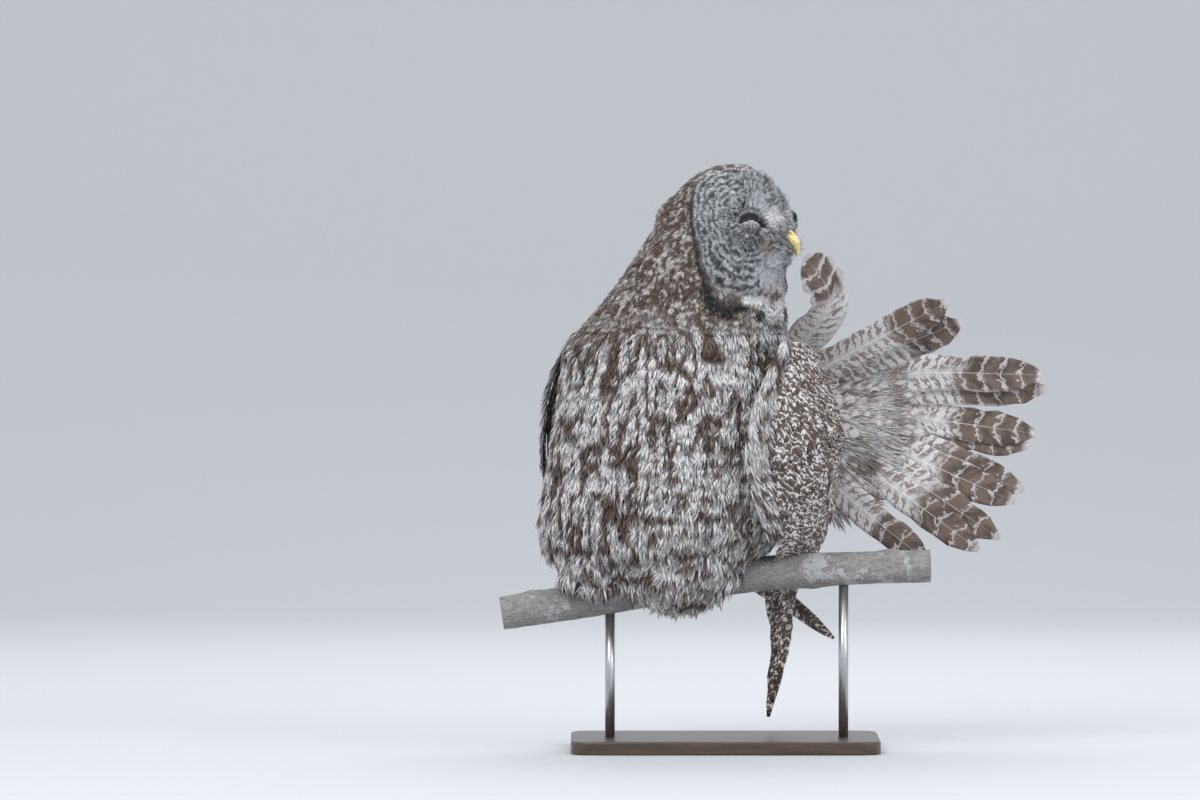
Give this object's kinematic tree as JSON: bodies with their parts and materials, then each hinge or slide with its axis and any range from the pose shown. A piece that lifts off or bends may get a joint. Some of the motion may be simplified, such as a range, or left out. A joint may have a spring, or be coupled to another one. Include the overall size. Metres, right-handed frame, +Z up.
{
  "type": "great grey owl model on a stand",
  "caption": "Life-size still model of a great grey owl, preening its fanned tail on a cut branch held by a base and two rods.",
  "frame": {"origin": "centre of the stand base's underside", "axes": "+Z up, +X along the branch towards the fanned tail, -Y towards the viewer who sees the breast"},
  "size_m": [0.668, 0.2891, 0.7066],
  "materials": {
    "stand_wood": "satin lacquer on dark wood",
    "stand_steel": "brushed",
    "bark": "weathered bark with pale lichen",
    "breast_feathers": "soft feathers, pale grey with dark streaks",
    "hood_feathers": "soft feathers, dark brown with small pale spots",
    "face_feathers": "short stiff feathers, grey with fine dark rings",
    "wing_feathers": "flight feathers, dark brown with pale mottling",
    "tail_feathers": "flight feathers, pale grey bases, dark barred tips",
    "foot_feathers": "short downy feathers",
    "horn": "smooth yellow horn",
    "claw_horn": "smooth black horn",
    "eye_glass": "glossy dark eye"
  },
  "bodies": {
    "root": {"bill_lower": "horn", "bill_upper": "horn", "claw_left_1": "claw_horn", "claw_left_2": "claw_horn", "claw_left_3": "claw_horn", "claw_left_4": "claw_horn", "claw_right_1": "claw_horn", "claw_right_2": "claw_horn", "claw_right_3": "claw_horn", "claw_right_4": "claw_horn", "eye_left": "eye_glass", "eye_right": "eye_glass", "foot_left": "foot_feathers", "foot_right": "foot_feathers", "head": "face_feathers", "leg_left": "breast_feathers", "leg_right": "breast_feathers", "neck": "hood_feathers", "perch_branch": "bark", "stand_base": "stand_wood", "stand_rod_left": "stand_steel", "stand_rod_right": "stand_steel", "tail_lower": "tail_feathers", "tail_middle": "tail_feathers", "tail_upper": "tail_feathers", "torso": "breast_feathers", "wing_left": "wing_feathers", "wing_right": "wing_feathers"}
  },
  "joints": []
}
